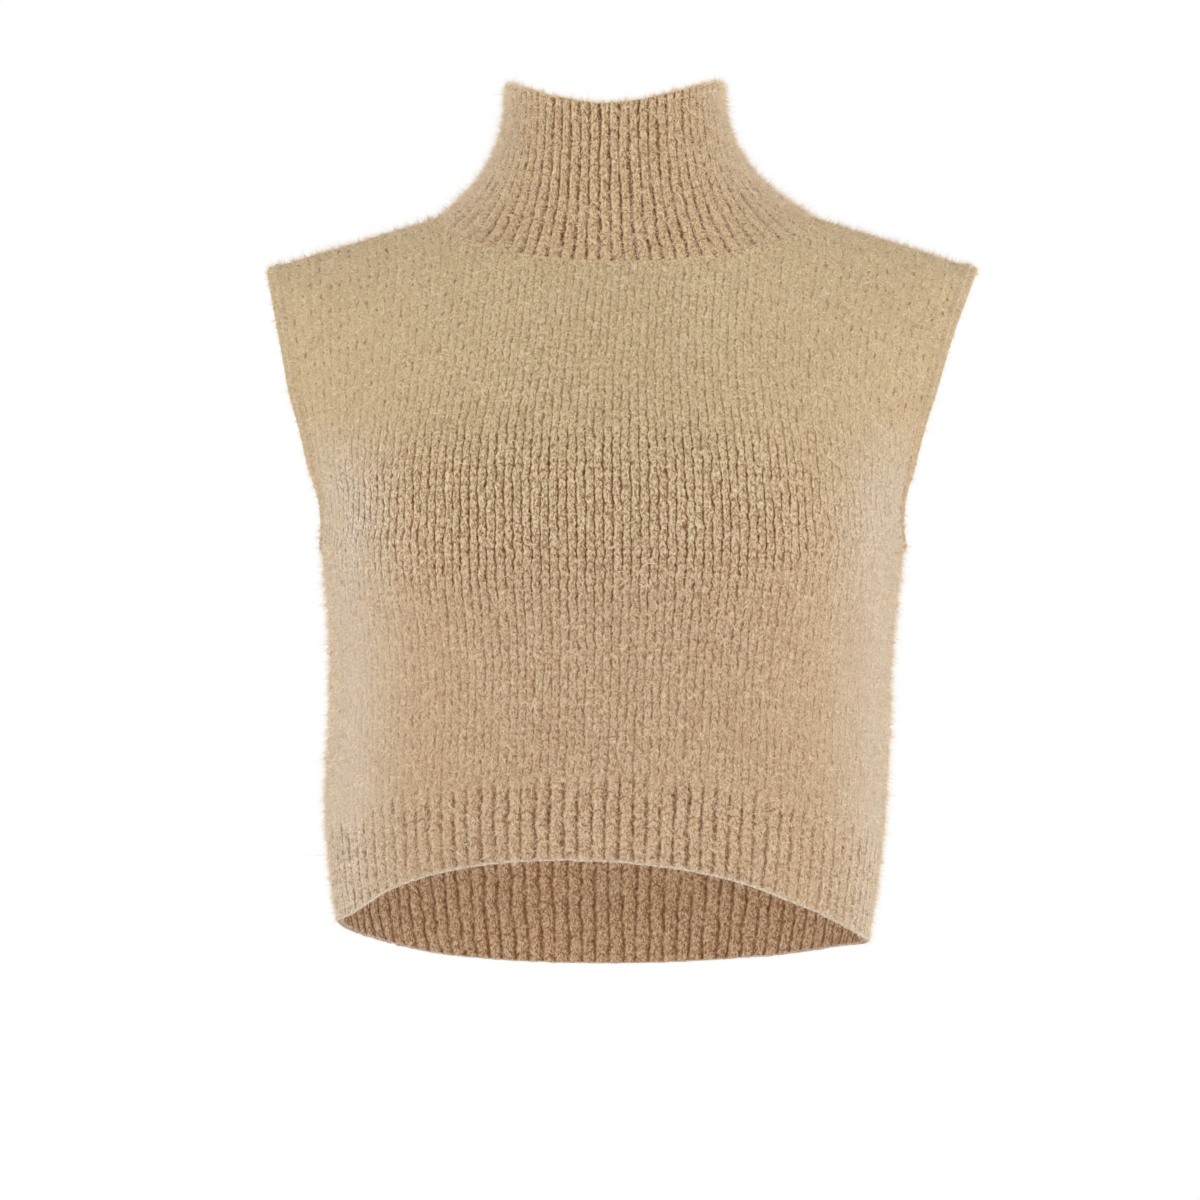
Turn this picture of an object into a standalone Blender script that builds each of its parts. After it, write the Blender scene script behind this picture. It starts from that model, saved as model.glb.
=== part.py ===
"""A cropped, sleeveless sweater vest with a ribbed funnel collar and ribbed hems, in the hollow form it has
when it is worn.

Metres, +Z up, the front faces -Y. The origin is the middle of the neck hole, level with the two points where
its edge crosses the shoulders. Every piece is a knitted wall between an outer and an inner skin."""

import bpy
import numpy as np

# The cloth
WALL = 0.003  # knit with its brushed pile
SEAM_GAP = 0.0003
RIB_DEPTH = 0.0012  # how far the furrows of a rib lie below its ridges
POINTS_PER_RIB = 2

# The body and the armholes
UNDERARM_HEIGHT = -0.174
BODY_SQUARENESS = 2.3  # 2 is an ellipse, more is squarer
ARMHOLE_REACH = 0.5  # how far the armhole's edges come forward and back, as a share of the body's depth
ARMHOLE_ROUNDING = 0.45  # share of the armhole's height in which its edges part from each other
ARMHOLE_SCOOP = 0.58  # 0.5 rounds the armhole's bottom as an ellipse, more as a narrower curve
FRONT_HEM_RIBS = 56
BACK_HEM_RIBS = 50

# The shoulders, from the neck points to the tips
NECK_POINT_X = 0.100
NECK_POINT_HEIGHT = 0.0024
SHOULDER_TIP_X = 0.188
SHOULDER_TIP_HEIGHT = -0.0243
RIDGE_ROUNDING = 0.04  # how widely the two slopes run into each other above the neck hole

# The neck hole and the collar
FRONT_NECK_DROP = 0.0324  # from the neck points down to the middle of the front edge
BACK_NECK_RISE = 0.0051
COLLAR_RIBS = 70
RIM_HALF_WIDTH = 0.0575
RIM_HALF_DEPTH = 0.0575
RIM_MIDDLE_Y = -0.012
RIM_DIP_HEIGHT = 0.0542
RIM_SIDE_HEIGHT = 0.0718
RIM_BACK_HEIGHT = 0.0700
RIM_DIP_BEARING = -5  # degrees, where the rim is lowest
RIM_DIP_SHARPNESS = 0.85  # 1 dips as a sine squared, less as a narrower notch
COLLAR_FLARE = 2.5  # how late the collar widens on its way down: 1 is a cone
RIB_CROWDING = 0.0127  # how much closer the ribs meet the seam at the front and back than on the shoulders

# Numbers of rows and columns of faces
BODY_ROWS = 7
YOKE_ROWS = 12
NECK_COLUMNS = {"front": 8, "back": 7}
SHOULDER_COLUMNS = 6
COLUMN_BEND = 1.5  # how late the yoke's columns turn towards their places on the neck hole and the shoulder

TO_FRONT, TO_BACK = -1, 1
EDGE_TO_EDGE = (-1, 1)
ENDLESS = (-np.inf, np.inf)
FINE_STEPS = 2000  # in which a line is measured before points are spread evenly along it
NUDGE = 1e-4  # how far apart the points are that a slope is read from
CREASE_ANGLE = 50  # degrees, above which two faces meet in a sharp edge
KNIT_ROUGHNESS = 0.9


def named_columns(*names):
    return [(name, float) for name in names]


# One row for each level, from the hem to the neck: the body's half width, and how far its front and back
# stand from the plane of the side seams. Above the underarm the armholes give the width.
BODY_LEVELS = np.array(
    [
        (-0.400, 0.1345, 0.0920, 0.0820),
        (-0.375, 0.1398, 0.0935, 0.0835),
        (-0.350, 0.1440, 0.0955, 0.0855),
        (-0.310, 0.1475, 0.0985, 0.0870),
        (-0.270, 0.1478, 0.1030, 0.0890),
        (-0.225, 0.1483, 0.1110, 0.0925),
        (-0.198, 0.1508, 0.1150, 0.0955),
        (-0.174, 0.1535, 0.1175, 0.0980),
        (-0.120, 0.1614, 0.1150, 0.1010),
        (-0.060, 0.1614, 0.1060, 0.0990),
        (0.020, 0.1614, 0.0990, 0.0950),
    ],
    dtype=named_columns("height", "half_width", "front", "back"),
)

# One row for each level of the armholes, as a share of the way from the underarm to the shoulder: half the
# width that the vest would have there without them.
ARMHOLE_LEVELS = np.array(
    [
        (0.00, 0.1535),
        (0.06, 0.1548),
        (0.14, 0.1588),
        (0.25, 0.1692),
        (0.45, 0.1828),
        (0.70, 0.1937),
        (1.00, 0.2075),
    ],
    dtype=named_columns("rise", "half_width"),
)

# One row for each bearing round the body, in degrees from the middle of the front towards +X: the height of
# the hem, and of the rib band above it. It runs on past the middle of the back, so that the line is smooth.
HEM_LINE = np.array(
    [
        (-220, -0.3890, 0.050),
        (-180, -0.3930, 0.048),
        (-140, -0.3880, 0.048),
        (-115, -0.3785, 0.049),
        (-90, -0.3700, 0.0490),
        (-67, -0.3645, 0.0475),
        (-45, -0.3490, 0.0450),
        (-24, -0.3395, 0.0435),
        (0, -0.3380, 0.0445),
        (22, -0.3450, 0.0485),
        (45, -0.3605, 0.0520),
        (67, -0.3740, 0.0535),
        (90, -0.3805, 0.0520),
        (115, -0.3835, 0.0510),
        (140, -0.3890, 0.0500),
        (180, -0.3930, 0.0480),
        (220, -0.3880, 0.0480),
    ],
    dtype=named_columns("bearing", "height", "rib"),
)

# One row for each level: how far the vest's middle hangs to +X there.
LEAN = np.array(
    [
        (-0.395, -0.0056),
        (-0.320, -0.0054),
        (-0.260, -0.0030),
        (-0.174, -0.0014),
        (-0.126, -0.0020),
        (-0.090, -0.0012),
        (-0.060, 0.0006),
        (-0.030, 0.0032),
        (0.000, 0.0060),
        (0.020, 0.0038),
        (0.045, 0.0010),
        (0.075, 0.0000),
    ],
    dtype=named_columns("height", "shift"),
)

# One row for each level of faces in a hem band: its share of the band's height, and how much of the ribs'
# full depth shows there.
BAND_LEVELS = np.array(
    [(0.00, 1.0), (0.92, 1.0), (1.00, 0.0)],
    dtype=named_columns("share", "relief"),
)

# One row for each level of faces in the collar, from the seam up.
COLLAR_LEVELS = np.array(
    [
        (0.00, 0.0),
        (0.05, 0.8),
        (0.13, 1.0),
        (0.24, 1.0),
        (0.38, 1.0),
        (0.55, 1.0),
        (0.76, 1.0),
        (1.00, 1.0),
    ],
    dtype=named_columns("climb", "relief"),
)

# How full the shoulders are in side view: 2 rounds them as an ellipse, more squares them.
SHOULDER_FULLNESS = {TO_FRONT: 2.2, TO_BACK: 3.0}


def read_table(table, column, at):
    """Reads a column anywhere along the table's first one: cubic pieces through the rows, which pass each
    row at the slope of a line through its neighbours."""
    keys = table[table.dtype.names[0]]
    values = table[column]
    slopes = np.gradient(values, keys)
    at = np.clip(at, keys[0], keys[-1])
    i = np.clip(np.searchsorted(keys, at) - 1, 0, len(keys) - 2)
    span = keys[i + 1] - keys[i]
    t = (at - keys[i]) / span
    start = (1 + 2 * t) * (1 - t) ** 2 * values[i] + t * (1 - t) ** 2 * span * slopes[i]
    end = t**2 * (3 - 2 * t) * values[i + 1] - t**2 * (1 - t) * span * slopes[i + 1]
    return start + end


def leaning(x, y, height):
    """Stacks coordinates as points, each moved sideways by the lean of its level."""
    x, y, height = np.broadcast_arrays(x, y, height)
    return np.stack([x + read_table(LEAN, "shift", height), y, height], axis=-1)


def squared_arc(share, squareness):
    """Falls from 1 to 0 as share goes from 0 to 1 or -1: a quarter of an ellipse, squared off."""
    return (1 - np.abs(share) ** squareness) ** (1 / squareness)


def depth_at(side, height):
    return read_table(BODY_LEVELS, "front" if side == TO_FRONT else "back", height)


def body_surface(side, across, height):
    """The body below the armholes. Across runs from -1 to 1 between the side seams, and each level is half
    of a squared ellipse."""
    y = side * (SEAM_GAP / 2 + depth_at(side, height) * squared_arc(across, BODY_SQUARENESS))
    return leaning(across * read_table(BODY_LEVELS, "half_width", height), y, height)


def ridge_height(x):
    """The line along the top of the shoulders: two straight slopes that run into each other in a curve."""

    def run(x):
        return np.sqrt(x**2 + RIDGE_ROUNDING**2)

    slope = (NECK_POINT_HEIGHT - SHOULDER_TIP_HEIGHT) / (run(SHOULDER_TIP_X) - run(NECK_POINT_X))
    return NECK_POINT_HEIGHT - slope * (run(x) - run(NECK_POINT_X))


def armhole_cut(rise):
    """The share of a level's full half width that the armhole leaves, and the x of its edge."""
    reach = ARMHOLE_REACH * (1 - (1 - np.minimum(rise / ARMHOLE_ROUNDING, 1)) ** 2) ** ARMHOLE_SCOOP
    left = squared_arc(reach, BODY_SQUARENESS)
    return left, left * read_table(ARMHOLE_LEVELS, "half_width", rise)


def yoke_surface(side, across, rise):
    """The panel beside the armholes. Across runs from -1 to 1 between their edges, and rise from 0 at the
    underarm to 1 at the shoulder ridge. Each level is part of a squared ellipse, and the levels close in on
    the ridge along another one."""
    left, edge_x = armhole_cut(rise)
    x = across * edge_x
    height = UNDERARM_HEIGHT + rise * (ridge_height(x) - UNDERARM_HEIGHT)
    depth = depth_at(side, height) * squared_arc(rise, SHOULDER_FULLNESS[side])
    y = side * (SEAM_GAP / 2 + depth * squared_arc(across * left, BODY_SQUARENESS))
    return leaning(x, y, height)


def neck_edge(side, x):
    """Where the neck hole's edge crosses the yoke at x, as across and rise: in front view it is half of an
    ellipse, hanging from the neck points at the front and standing on them at the back."""
    swing = FRONT_NECK_DROP if side == TO_FRONT else -BACK_NECK_RISE
    height = NECK_POINT_HEIGHT - swing * np.sqrt(np.clip(1 - (x / NECK_POINT_X) ** 2, 0, 1))
    rise = np.minimum((height - UNDERARM_HEIGHT) / (ridge_height(x) - UNDERARM_HEIGHT), 1)
    return x / armhole_cut(rise)[1], rise


def lengths_along(points):
    steps = np.linalg.norm(np.diff(points, axis=0), axis=1)
    return np.concatenate([[0], np.cumsum(steps)])


def evenly_along(places, points, count):
    """Picks count + 1 of the places so that the points there lie evenly along their line."""
    run = lengths_along(points)
    return np.interp(np.linspace(0, run[-1], count + 1), run, places)


def neck_columns(side):
    """X of the columns that end on the neck hole's edge, from its middle to the neck point."""
    x = NECK_POINT_X * np.sin(np.linspace(0, np.pi / 2, FINE_STEPS))
    edge = yoke_surface(side, *neck_edge(side, x))
    return evenly_along(x, edge, NECK_COLUMNS["front" if side == TO_FRONT else "back"])


def mirrored(half, sign):
    """A row of values from the middle outwards, as one from side to side."""
    return np.concatenate([sign * half[:0:-1], half])


def panel_grid(side):
    """Across and rise of the panel's rows and columns. Rise is below 0 in the body, where -1 is the top of
    the hem rib. Columns start evenly round the body and bend, beside the armholes, towards their places on
    the neck hole and the shoulder. Rows lie closer at the underarm and the shoulder."""
    neck_across, neck_rise = neck_edge(side, neck_columns(side))
    shoulder_across = np.linspace(neck_across[-1], 1, SHOULDER_COLUMNS + 1)[1:]
    end_across = mirrored(np.concatenate([neck_across, shoulder_across]), -1)
    end_rise = mirrored(np.concatenate([neck_rise, np.ones(SHOULDER_COLUMNS)]), 1)
    start_across = np.sin(np.linspace(-np.pi / 2, np.pi / 2, len(end_across)))
    climb = np.linspace(0, 1, YOKE_ROWS + 1)[:, None]
    yoke_across = start_across + (end_across - start_across) * climb**COLUMN_BEND
    yoke_rise = (1 - np.cos(np.pi * climb)) / 2 * end_rise
    body_rise = np.linspace(-1, 0, BODY_ROWS + 1)[:-1, None] * np.ones(len(start_across))
    body_across = np.broadcast_to(start_across, body_rise.shape)
    return np.concatenate([body_across, yoke_across]), np.concatenate([body_rise, yoke_rise])


def hem_bearing(side, across):
    bearing = np.degrees(np.arcsin(across))
    return bearing if side == TO_FRONT else np.where(across < 0, -180, 180) - bearing


def hem_height(side, across):
    return read_table(HEM_LINE, "height", hem_bearing(side, across))


def rib_top_height(side, across):
    """The line where the hem rib ends and the panel starts."""
    return hem_height(side, across) + read_table(HEM_LINE, "rib", hem_bearing(side, across))


def panel_surface(side, across, rise):
    bottom = rib_top_height(side, across) + SEAM_GAP / 2
    height = UNDERARM_HEIGHT + np.minimum(rise, 0) * (UNDERARM_HEIGHT - bottom)
    body = body_surface(side, across, height)
    yoke = yoke_surface(side, across, np.clip(rise, 0, 1))
    return np.where(rise[..., None] > 0, yoke, body)


def outward(surface, u, v, u_range, v_range, toward=1):
    """Unit normals of a surface of two parameters, from points a small step to each side. Toward is -1 where
    the cross product of the two directions points into the vest."""
    along_u = surface(np.minimum(u + NUDGE, u_range[1]), v) - surface(np.maximum(u - NUDGE, u_range[0]), v)
    along_v = surface(u, np.minimum(v + NUDGE, v_range[1])) - surface(u, np.maximum(v - NUDGE, v_range[0]))
    normals = toward * np.cross(along_u, along_v)
    return normals / np.linalg.norm(normals, axis=-1, keepdims=True)


def square_to_seam(normals, on_seam):
    """Normals on the side and shoulder seams lie in the plane of those seams, so that the walls meet flat."""
    normals = np.where(on_seam[..., None], normals * (1, 0, 1), normals)
    return normals / np.linalg.norm(normals, axis=-1, keepdims=True)


def rib_band(side, name, ribs, colour):
    """A hem band: its outer skin has a ridge and a furrow for each rib, and its inner skin is plain."""
    fine = np.sin(np.linspace(-np.pi / 2, np.pi / 2, FINE_STEPS))
    line = body_surface(side, fine, hem_height(side, fine))
    across = np.clip(evenly_along(fine, line, POINTS_PER_RIB * ribs), *EDGE_TO_EDGE)
    bottom, top = hem_height(side, across), rib_top_height(side, across) - SEAM_GAP / 2
    level = BAND_LEVELS["share"][:, None]
    height = bottom + level * (top - bottom)

    def surface(across, height):
        return body_surface(side, across, height)

    across = np.broadcast_to(across, height.shape)
    smooth = surface(across, height)
    normals = outward(surface, across, height, EDGE_TO_EDGE, ENDLESS, -side)
    normals = square_to_seam(normals, np.abs(across) == 1)
    furrow = np.arange(across.shape[1]) % POINTS_PER_RIB == 0
    relief = RIB_DEPTH * furrow * BAND_LEVELS["relief"][:, None]
    outer = smooth - relief[..., None] * normals
    knit_wall(name, *round_the_body(side, outer, smooth - WALL * normals), colour)


def round_the_body(side, *grids):
    """Columns run from -X to +X on the front and back again on the back, so that faces point outwards."""
    return grids if side == TO_FRONT else tuple(grid[:, ::-1] for grid in grids)


def panel(side, name, colour):
    across, rise = panel_grid(side)

    def surface(across, rise):
        return panel_surface(side, across, rise)

    outer = surface(across, rise)
    normals = outward(surface, across, rise, EDGE_TO_EDGE, EDGE_TO_EDGE, -side)
    on_seam = (rise == 1) | ((np.abs(across) == 1) & (rise <= 0))
    normals = square_to_seam(normals, on_seam)
    knit_wall(name, *round_the_body(side, outer, outer - WALL * normals), colour)


def neck_seam():
    """The neck hole's edge, once round from the middle of the front towards +X: the points of its outer
    and its inner skin, and the directions in which the cloth would run on into the hole."""
    front, back = neck_columns(TO_FRONT), neck_columns(TO_BACK)
    stretches = [
        (TO_FRONT, front),
        (TO_BACK, back[::-1]),
        (TO_BACK, -back[1:]),
        (TO_FRONT, -front[::-1]),
    ]
    outer, normals = [], []
    for side, x in stretches:
        across, rise = neck_edge(side, x)

        def surface(across, rise, side=side):
            return panel_surface(side, across, rise)

        outer.append(surface(across, rise))
        found = outward(surface, across, rise, EDGE_TO_EDGE, EDGE_TO_EDGE, -side)
        normals.append(square_to_seam(found, rise == 1))
    outer, normals = np.concatenate(outer), np.concatenate(normals)
    along = np.gradient(outer, axis=0)
    along[0] = along[-1] = (1, 0, 0)
    onward = np.cross(normals, along)
    return outer, outer - WALL * normals, onward / np.linalg.norm(onward, axis=1, keepdims=True)


def collar(name, colour):
    """A funnel from the neck hole's edge to the rim. Each rib runs up from its place on the seam, and nears
    the rim's oval faster than it rises, so that the flare is hollow."""
    outer_seam, inner_seam, onward = neck_seam()
    run = lengths_along(outer_seam)

    def seam(points, bearing):
        share = bearing / (2 * np.pi) - RIB_CROWDING * np.sin(2 * bearing)
        return np.stack([np.interp(share * run[-1], run, column, period=run[-1]) for column in points.T], -1)

    def surface(bearing, climb):
        base = seam(outer_seam + SEAM_GAP * onward, bearing)
        turn = bearing - np.radians(RIM_DIP_BEARING)
        dip = np.where(np.cos(turn) > 0, RIM_DIP_HEIGHT, RIM_BACK_HEIGHT)
        rim_height = dip + (RIM_SIDE_HEIGHT - dip) * (np.sin(turn) ** 2) ** RIM_DIP_SHARPNESS
        rim = leaning(
            RIM_HALF_WIDTH * np.sin(bearing), RIM_MIDDLE_Y - RIM_HALF_DEPTH * np.cos(bearing), rim_height
        )
        spread = ((1 - climb) ** COLLAR_FLARE)[..., None]
        plan = base * spread + rim * (1 - spread)
        height = base[..., 2] + climb * (rim[..., 2] - base[..., 2])
        return np.concatenate([plan[..., :2], height[..., None]], axis=-1)

    columns = POINTS_PER_RIB * COLLAR_RIBS
    bearing = 2 * np.pi * (np.arange(columns) + 0.5) / columns
    bearing, climb = np.broadcast_arrays(bearing, COLLAR_LEVELS["climb"][:, None])
    smooth = surface(bearing, climb)
    normals = outward(surface, bearing, climb, ENDLESS, (0, 1))
    furrow = np.arange(columns) % POINTS_PER_RIB == 0
    relief = RIB_DEPTH * furrow * COLLAR_LEVELS["relief"][:, None]
    outer = smooth - relief[..., None] * normals
    inner = smooth - WALL * normals
    inner[0] = seam(inner_seam + SEAM_GAP * onward, bearing[0])
    knit_wall(name, outer, inner, colour, closed=True)


def knit_wall(name, outer, inner, colour, closed=False):
    """A closed body between two skins given as grids of rows by columns of points, joined round their edges.
    A closed wall's last column runs on into its first."""
    rows, columns = outer.shape[:2]
    index = np.arange(rows * columns).reshape(rows, columns)
    if closed:
        index = np.concatenate([index, index[:, :1]], axis=1)

    def strip(a, b):
        return np.stack([a[:-1], a[1:], b[1:], b[:-1]], axis=-1)

    under = index + rows * columns
    faces = [
        strip(index[:-1].T, index[1:].T).reshape(-1, 4),
        strip(under[1:].T, under[:-1].T).reshape(-1, 4),
        strip(under[0], index[0]),
        strip(index[-1], under[-1]),
    ]
    if not closed:
        faces += [strip(index[:, 0], under[:, 0]), strip(under[:, -1], index[:, -1])]
    mesh = bpy.data.meshes.new(name)
    points = np.concatenate([outer.reshape(-1, 3), inner.reshape(-1, 3)])
    mesh.from_pydata(points.tolist(), [], np.concatenate(faces).tolist())
    mesh.materials.append(knit_material(name, colour))
    mesh.shade_smooth()
    mesh.set_sharp_from_angle(angle=np.radians(CREASE_ANGLE))
    body = bpy.data.objects.new(name, mesh)
    vest.objects.link(body)
    return body


def knit_material(name, colour):
    material = bpy.data.materials.new(name)
    material.use_nodes = True
    shader = material.node_tree.nodes["Principled BSDF"]
    shader.inputs["Base Color"].default_value = (*colour, 1)
    shader.inputs["Roughness"].default_value = KNIT_ROUGHNESS
    shader.inputs["Metallic"].default_value = 0
    return material


def from_bytes(*colour):
    """A colour as pictures give it, from 0 to 255, as the shader's linear values."""
    share = np.array(colour) / 255
    return tuple(np.where(share <= 0.04045, share / 12.92, ((share + 0.055) / 1.055) ** 2.4).tolist())


for old in list(bpy.data.objects):
    bpy.data.objects.remove(old)
vest = bpy.data.collections.new("sweater_vest")
bpy.context.scene.collection.children.link(vest)

panel(TO_FRONT, "front_panel", from_bytes(189, 162, 129))
panel(TO_BACK, "back_panel", from_bytes(186, 159, 126))
collar("collar", from_bytes(183, 154, 121))
rib_band(TO_FRONT, "front_hem_rib", FRONT_HEM_RIBS, from_bytes(182, 152, 121))
rib_band(TO_BACK, "back_hem_rib", BACK_HEM_RIBS, from_bytes(178, 148, 117))
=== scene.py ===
"""A cropped, sleeveless sweater vest in brushed yarn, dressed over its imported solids.

Metres, +Z up, the front faces -Y. The origin is the middle of the neck hole, level with the neck points."""

from functools import partial

import bpy
import numpy as np
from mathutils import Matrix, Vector


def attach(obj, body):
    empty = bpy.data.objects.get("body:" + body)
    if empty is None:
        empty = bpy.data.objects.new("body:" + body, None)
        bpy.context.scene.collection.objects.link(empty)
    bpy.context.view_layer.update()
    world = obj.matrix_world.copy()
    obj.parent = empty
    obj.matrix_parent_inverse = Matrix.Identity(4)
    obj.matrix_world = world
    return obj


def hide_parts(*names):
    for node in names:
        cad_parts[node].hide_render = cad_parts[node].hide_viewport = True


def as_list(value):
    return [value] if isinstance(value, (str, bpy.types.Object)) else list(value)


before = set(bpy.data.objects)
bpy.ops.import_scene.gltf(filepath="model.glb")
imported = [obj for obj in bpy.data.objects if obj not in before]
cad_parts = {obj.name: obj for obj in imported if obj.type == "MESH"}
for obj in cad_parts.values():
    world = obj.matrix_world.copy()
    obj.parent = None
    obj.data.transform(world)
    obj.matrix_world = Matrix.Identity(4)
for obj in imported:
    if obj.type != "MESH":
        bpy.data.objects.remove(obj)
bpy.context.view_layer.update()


# --------------------
# The front: one panel of stockinette in a soft two-ply yarn, knitted from the hem rib up to the shoulders
# and the neck hole, brushed until a pile lies over its stitches, and linked to the back at its sides.

FRONT, BACK = -1, 1
WALL = 0.003
SEAM_GAP = 0.00003
UNDERARM = -0.174
BODY_SQUARENESS = 2.3
ARMHOLE_REACH = 0.5
ARMHOLE_ROUNDING = 0.45
ARMHOLE_SCOOP = 0.58
NECK_POINT_X = 0.100
NECK_POINT_HEIGHT = 0.0024
SHOULDER_TIP_X = 0.188
SHOULDER_TIP_HEIGHT = -0.0243
RIDGE_ROUNDING = 0.04
FRONT_NECK_DROP = 0.0324
BACK_NECK_RISE = 0.0051
NUDGE, ANY = 1e-4, (-np.inf, np.inf)  # the step of a slope, and a parameter without ends
SHOULDER_FULLNESS = {FRONT: 2.2, BACK: 3.0}

HALF_WALES = 45  # from the middle to the side seam
WALES_KEPT = 41  # of these, above the underarm
CAST_OFF_RISE = 0.12  # where the last of the others has ended
ALL_COURSES = 86
BODY_COURSES = 34  # from the hem rib to the underarm
COURSE = 0.0039
WALE_COLUMNS = 4
COURSE_ROWS = 2
WALE_SWAY = 0.07  # of its width
STITCH_RELIEF = 0.00055
STITCH_ROUGHNESS = 0.15  # of the relief, as the next three are
GAP_WAVER, LEG_WAVER = 0.30, 0.15
HIDDEN_RELIEF = 0.25  # left where the pile hides the stitches
PURL_RELIEF = 0.0004
PURL_ROUGHNESS = 0.2
INNER_SHOWN = 0.5  # how much of the stitches the inside shows
# The painted sheen that pales the sides: where it starts across and over what width, and where it starts
# down and over what height
SHEEN_FROM_X, SHEEN_OVER_X = 0.100, 0.035
SHEEN_TOP, SHEEN_FADE = -0.105, 0.04


def table(columns, *rows):
    return np.array(list(rows), dtype=[(name, float) for name in columns.split()])


# One row a level: the body's half width, and how far its front and back stand from the side seams.
BODY_LEVELS = table(
    "height half_width front back",
    (-0.400, 0.1345, 0.0920, 0.0820), (-0.375, 0.1398, 0.0935, 0.0835),
    (-0.350, 0.1440, 0.0955, 0.0855), (-0.310, 0.1475, 0.0985, 0.0870),
    (-0.270, 0.1478, 0.1030, 0.0890), (-0.225, 0.1483, 0.1110, 0.0925),
    (-0.198, 0.1508, 0.1150, 0.0955), (-0.174, 0.1535, 0.1175, 0.0980),
    (-0.120, 0.1614, 0.1150, 0.1010), (-0.060, 0.1614, 0.1060, 0.0990),
    (0.020, 0.1614, 0.0990, 0.0950),
)

# One row a level between underarm and shoulder: half the width that there would be without armholes.
ARMHOLE_LEVELS = table(
    "rise half_width",
    (0.00, 0.1535), (0.06, 0.1548), (0.14, 0.1588), (0.25, 0.1692),
    (0.45, 0.1828), (0.70, 0.1937), (1.00, 0.2075),
)

# One row a bearing in degrees from the middle of the front: the hem's height and the rib band's.
HEM_LINE = table(
    "bearing height rib",
    (-220, -0.3890, 0.0560), (-180, -0.3930, 0.0560), (-140, -0.3880, 0.0545),
    (-115, -0.3785, 0.0490), (-90, -0.3700, 0.0490), (-67, -0.3645, 0.0475),
    (-45, -0.3490, 0.0450), (-24, -0.3395, 0.0435), (0, -0.3380, 0.0445),
    (22, -0.3450, 0.0485), (45, -0.3605, 0.0520), (67, -0.3740, 0.0535),
    (90, -0.3805, 0.0520), (115, -0.3835, 0.0510), (140, -0.3890, 0.0560),
    (180, -0.3930, 0.0560), (220, -0.3880, 0.0545),
)

# One row a level: how far the vest's middle hangs to +X there.
LEAN = table(
    "height shift",
    (-0.395, -0.0056), (-0.320, -0.0054), (-0.260, -0.0030),
    (-0.174, -0.0014), (-0.126, -0.0020), (-0.090, -0.0012),
    (-0.060, 0.0006), (-0.030, 0.0032), (0.000, 0.0060),
    (0.020, 0.0038), (0.045, 0.0010), (0.075, 0.0000),
)

# One row a level: how wide a wale is in the middle of the panel, before the armholes spread the rest.
WALE_WIDTHS = table(
    "rise width",
    (-1.00, 0.0043), (-0.55, 0.0043), (-0.10, 0.0046),
    (0.20, 0.0046), (0.50, 0.0041), (1.00, 0.0041),
)

# One row a place where the pile is thin and the stitches show: its middle, its half width and half height,
# all in metres, and how far it goes. The last row is what shows everywhere.
THIN_PILE = table(
    "x height half_width half_height share",
    (-0.018, -0.159, 0.143, 0.041, 0.58),
    (0.000, -0.225, 0.098, 0.180, 0.35),
    (-0.088, -0.157, 0.042, 0.034, 0.15),
    (0.000, -0.055, 0.095, 0.045, 0.11),
    (0.000, 0.000, 9.000, 9.000, 0.08),
)

# One row a column of points in a wale, from the gap before it: how high the yarn lies at the tip of each V
# and where its legs part, and how far the legs move towards each other at the tip.
STOCKINETTE = table(
    "tip parting closing",
    (-0.85, -0.55, 0.00), (0.55, 0.90, 0.06),
    (0.10, -0.35, 0.00), (0.55, 0.90, -0.06),
)


def read_table(rows, column, at):
    """Cubic pieces through a table's rows, each passed at the slope between its neighbours."""
    keys, values = rows[rows.dtype.names[0]], rows[column]
    slopes = np.gradient(values, keys)
    at = np.clip(at, keys[0], keys[-1])
    i = np.clip(np.searchsorted(keys, at) - 1, 0, len(keys) - 2)
    span = keys[i + 1] - keys[i]
    t = (at - keys[i]) / span
    start = (1 + 2 * t) * (1 - t) ** 2 * values[i] + t * (1 - t) ** 2 * span * slopes[i]
    end = t**2 * (3 - 2 * t) * values[i + 1] - t**2 * (1 - t) * span * slopes[i + 1]
    return start + end


def unit(vectors):
    return vectors / np.linalg.norm(vectors, axis=-1, keepdims=True)


def leaning(x, y, height):
    """Coordinates as points, each moved sideways by the lean of its level."""
    x, y, height = np.broadcast_arrays(x, y, height)
    return np.stack([x + read_table(LEAN, "shift", height), y, height], axis=-1)


def squared_arc(share, squareness):
    """A quarter of a squared ellipse: the rest of 1 after share to the power, taken to the power's root."""
    return (1 - np.minimum(np.abs(share), 1) ** squareness) ** (1 / squareness)


def ridge_height(x):
    """Two straight slopes from the neck to the tips, joined by a hyperbola in the middle."""
    here, neck, tip = (np.hypot(at, RIDGE_ROUNDING) for at in (x, NECK_POINT_X, SHOULDER_TIP_X))
    return NECK_POINT_HEIGHT + (SHOULDER_TIP_HEIGHT - NECK_POINT_HEIGHT) * (here - neck) / (tip - neck)


def hem_heights(side, share):
    """The heights of the hem and of its band's top, at the bearing whose sine is the share."""
    bearing = np.degrees(np.arcsin(np.clip(share, -1, 1)))
    if side == BACK:
        bearing = np.where(share < 0, -180, 180) - bearing
    low = read_table(HEM_LINE, "height", bearing)
    return low, low + read_table(HEM_LINE, "rib", bearing)


def level_form(side, share, x, height, closing=1):
    """One level of the vest: y is its depth times the squared arc of the share of its half width."""
    depth = closing * read_table(BODY_LEVELS, "front" if side == FRONT else "back", height)
    return leaning(x, side * (SEAM_GAP / 2 + depth * squared_arc(share, BODY_SQUARENESS)), height)


def body_form(side, share, height):
    return level_form(side, share, share * read_table(BODY_LEVELS, "half_width", height), height)


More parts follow.
